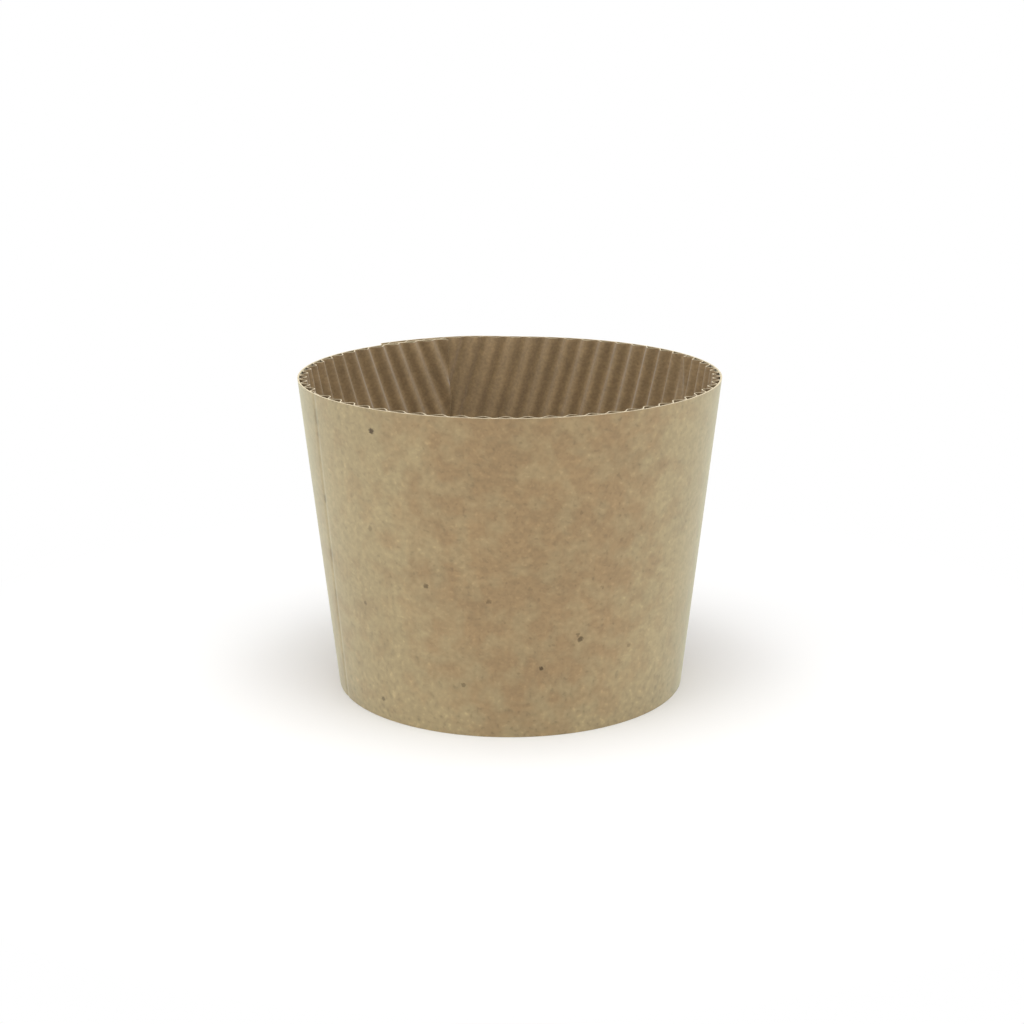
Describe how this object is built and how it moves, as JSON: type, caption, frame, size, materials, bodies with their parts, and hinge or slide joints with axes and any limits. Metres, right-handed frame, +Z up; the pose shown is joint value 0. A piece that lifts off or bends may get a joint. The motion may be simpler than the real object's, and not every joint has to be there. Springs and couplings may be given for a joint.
{
  "type": "coffee cup sleeve",
  "caption": "Tapered ring of single-face corrugated kraft board that slips over a hot paper cup, smooth outside and fluted inside, with a glued lap at the back.",
  "frame": {"origin": "centre of the bottom ring, on the sleeve's axis, at the height of the surface it stands on", "axes": "+Z up along the sleeve's axis towards the wide end, -Y towards the viewer of the picture, +X to the viewer's right"},
  "size_m": [0.0796, 0.0804, 0.06],
  "materials": {
    "kraft_board": "unbleached kraft liner outside and kraft medium inside, matt"
  },
  "bodies": {
    "root": {"sleeve": "kraft_board"}
  },
  "joints": []
}
